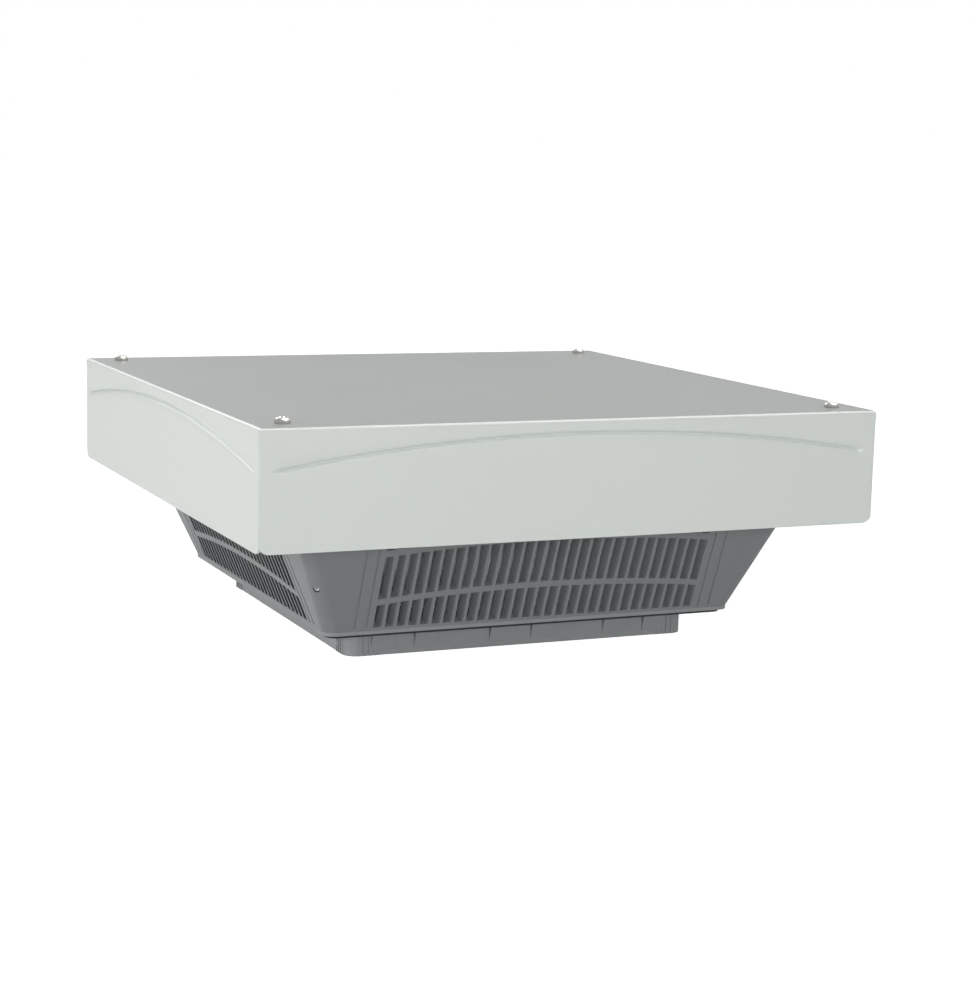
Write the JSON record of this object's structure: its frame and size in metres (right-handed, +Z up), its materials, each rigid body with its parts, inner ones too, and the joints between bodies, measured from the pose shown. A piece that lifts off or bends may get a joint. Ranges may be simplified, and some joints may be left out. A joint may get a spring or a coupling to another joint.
{
  "type": "enclosure roof fan",
  "caption": "Square roof fan for a cabinet: folded rain cover over a leaning louvred housing, a spinning impeller inside, and a snap-in collar below.",
  "frame": {"origin": "centre of the collar's lower edge, on the fan's own axis", "axes": "+Z up along the impeller's axis, -Y the front, +X to the right seen from the front"},
  "size_m": [0.38, 0.38, 0.1488],
  "materials": {
    "cover_paint": "satin powder coat",
    "nickel_screw": "bright nickel",
    "brass_insert": "plain turned",
    "housing_plastic": "fine grained moulding",
    "tray_plastic": "fine grained moulding",
    "foam_rubber": "matt foam",
    "galvanised_sheet": "zinc spangle",
    "zinc_screw": "zinc plated",
    "cast_aluminium": "die cast",
    "bearing_steel": "ground",
    "lamination_steel": "stacked sheet",
    "enamelled_copper": "enamelled wire",
    "rotor_paint": "satin black",
    "impeller_sheet": "mill finish",
    "lead_sheath": "smooth sheath",
    "terminal_plastic": "moulded",
    "capacitor_can": "smooth"
  },
  "bodies": {
    "root": {"cover": "cover_paint", "cover_screws": "nickel_screw", "post_inserts": "brass_insert", "louvre_panel_front": "housing_plastic", "louvre_panel_right": "housing_plastic", "louvre_panel_rear": "housing_plastic", "louvre_panel_left": "housing_plastic", "corner_post_front_left": "housing_plastic", "corner_post_front_right": "housing_plastic", "corner_post_rear_right": "housing_plastic", "corner_post_rear_left": "housing_plastic", "post_screws": "zinc_screw", "base_tray": "tray_plastic", "roof_gasket": "foam_rubber", "motor_plate": "galvanised_sheet", "inlet_ring": "galvanised_sheet", "finger_guard": "galvanised_sheet", "inlet_screws": "zinc_screw", "stator_flange": "cast_aluminium", "motor_screws": "zinc_screw", "lower_bearing": "bearing_steel", "upper_bearing": "bearing_steel", "stator_core": "lamination_steel", "stator_winding": "enamelled_copper", "motor_lead": "lead_sheath", "lead_grommet": "foam_rubber", "terminal_block": "terminal_plastic", "capacitor": "capacitor_can", "capacitor_clip": "galvanised_sheet", "clip_screws": "zinc_screw"},
    "rotor": {"rotor_cup": "rotor_paint", "rotor_core": "lamination_steel", "motor_shaft": "bearing_steel", "impeller_backplate": "impeller_sheet", "impeller_rivets": "zinc_screw", "impeller_shroud": "impeller_sheet", "impeller_blades": "impeller_sheet"}
  },
  "joints": [
    {"name": "impeller_spin", "type": "hinge", "parent": "root", "child": "rotor", "pos_m": [0, 0, 0.08], "axis": [0, 0, 1], "continuous": true}
  ]
}
